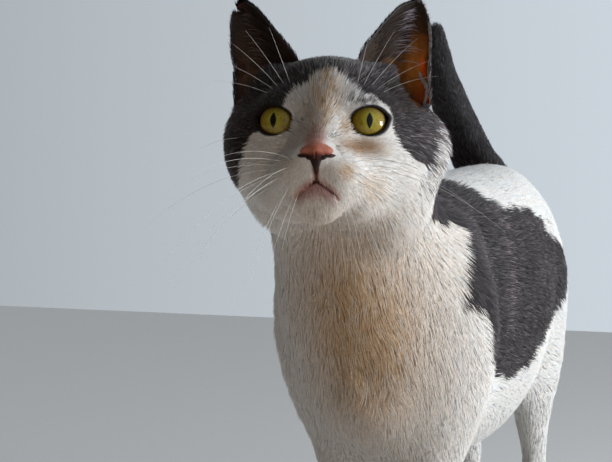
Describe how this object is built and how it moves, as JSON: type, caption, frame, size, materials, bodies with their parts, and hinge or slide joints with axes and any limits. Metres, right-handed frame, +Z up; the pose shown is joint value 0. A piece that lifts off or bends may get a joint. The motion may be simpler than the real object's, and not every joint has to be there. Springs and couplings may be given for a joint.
{
  "type": "standing short-haired cat, life-size model",
  "caption": "A grey-and-white short-haired cat standing square with its head raised and turned to its left and its tail carried up behind, as a still life-size model.",
  "frame": {"origin": "on the floor under the middle of the whole cat, whiskers and tail included", "axes": "+Z up, the cat faces -Y, its left side is +X, and +Y runs towards the tail"},
  "size_m": [0.1993, 0.6512, 0.3427],
  "materials": {
    "white_coat": "matt short white fur with grey and cream patches",
    "grey_coat": "matt short dark grey fur",
    "ear_skin": "thin skin, furred outside and nearly bare inside",
    "nose_leather": "moist fine-grained pink skin",
    "eye": "clear wet cornea over a yellow-green iris with a slit pupil",
    "whisker": "stiff tapered white hair"
  },
  "bodies": {
    "root": {"head": "white_coat", "neck": "white_coat", "trunk": "white_coat", "tail_root": "grey_coat", "tail_end": "grey_coat", "foreleg_left": "white_coat", "foreleg_right": "white_coat", "hindleg_left": "white_coat", "hindleg_right": "white_coat", "forepaw_left": "white_coat", "forepaw_right": "white_coat", "hindpaw_left": "white_coat", "hindpaw_right": "white_coat", "ear_left": "ear_skin", "ear_right": "ear_skin", "eyeball_left": "eye", "eyeball_right": "eye", "nose": "nose_leather", "whisker_left_1": "whisker", "whisker_left_2": "whisker", "whisker_left_3": "whisker", "whisker_left_4": "whisker", "whisker_left_5": "whisker", "whisker_left_6": "whisker", "whisker_right_1": "whisker", "whisker_right_2": "whisker", "whisker_right_3": "whisker", "whisker_right_4": "whisker", "whisker_right_5": "whisker", "whisker_right_6": "whisker"}
  },
  "joints": []
}
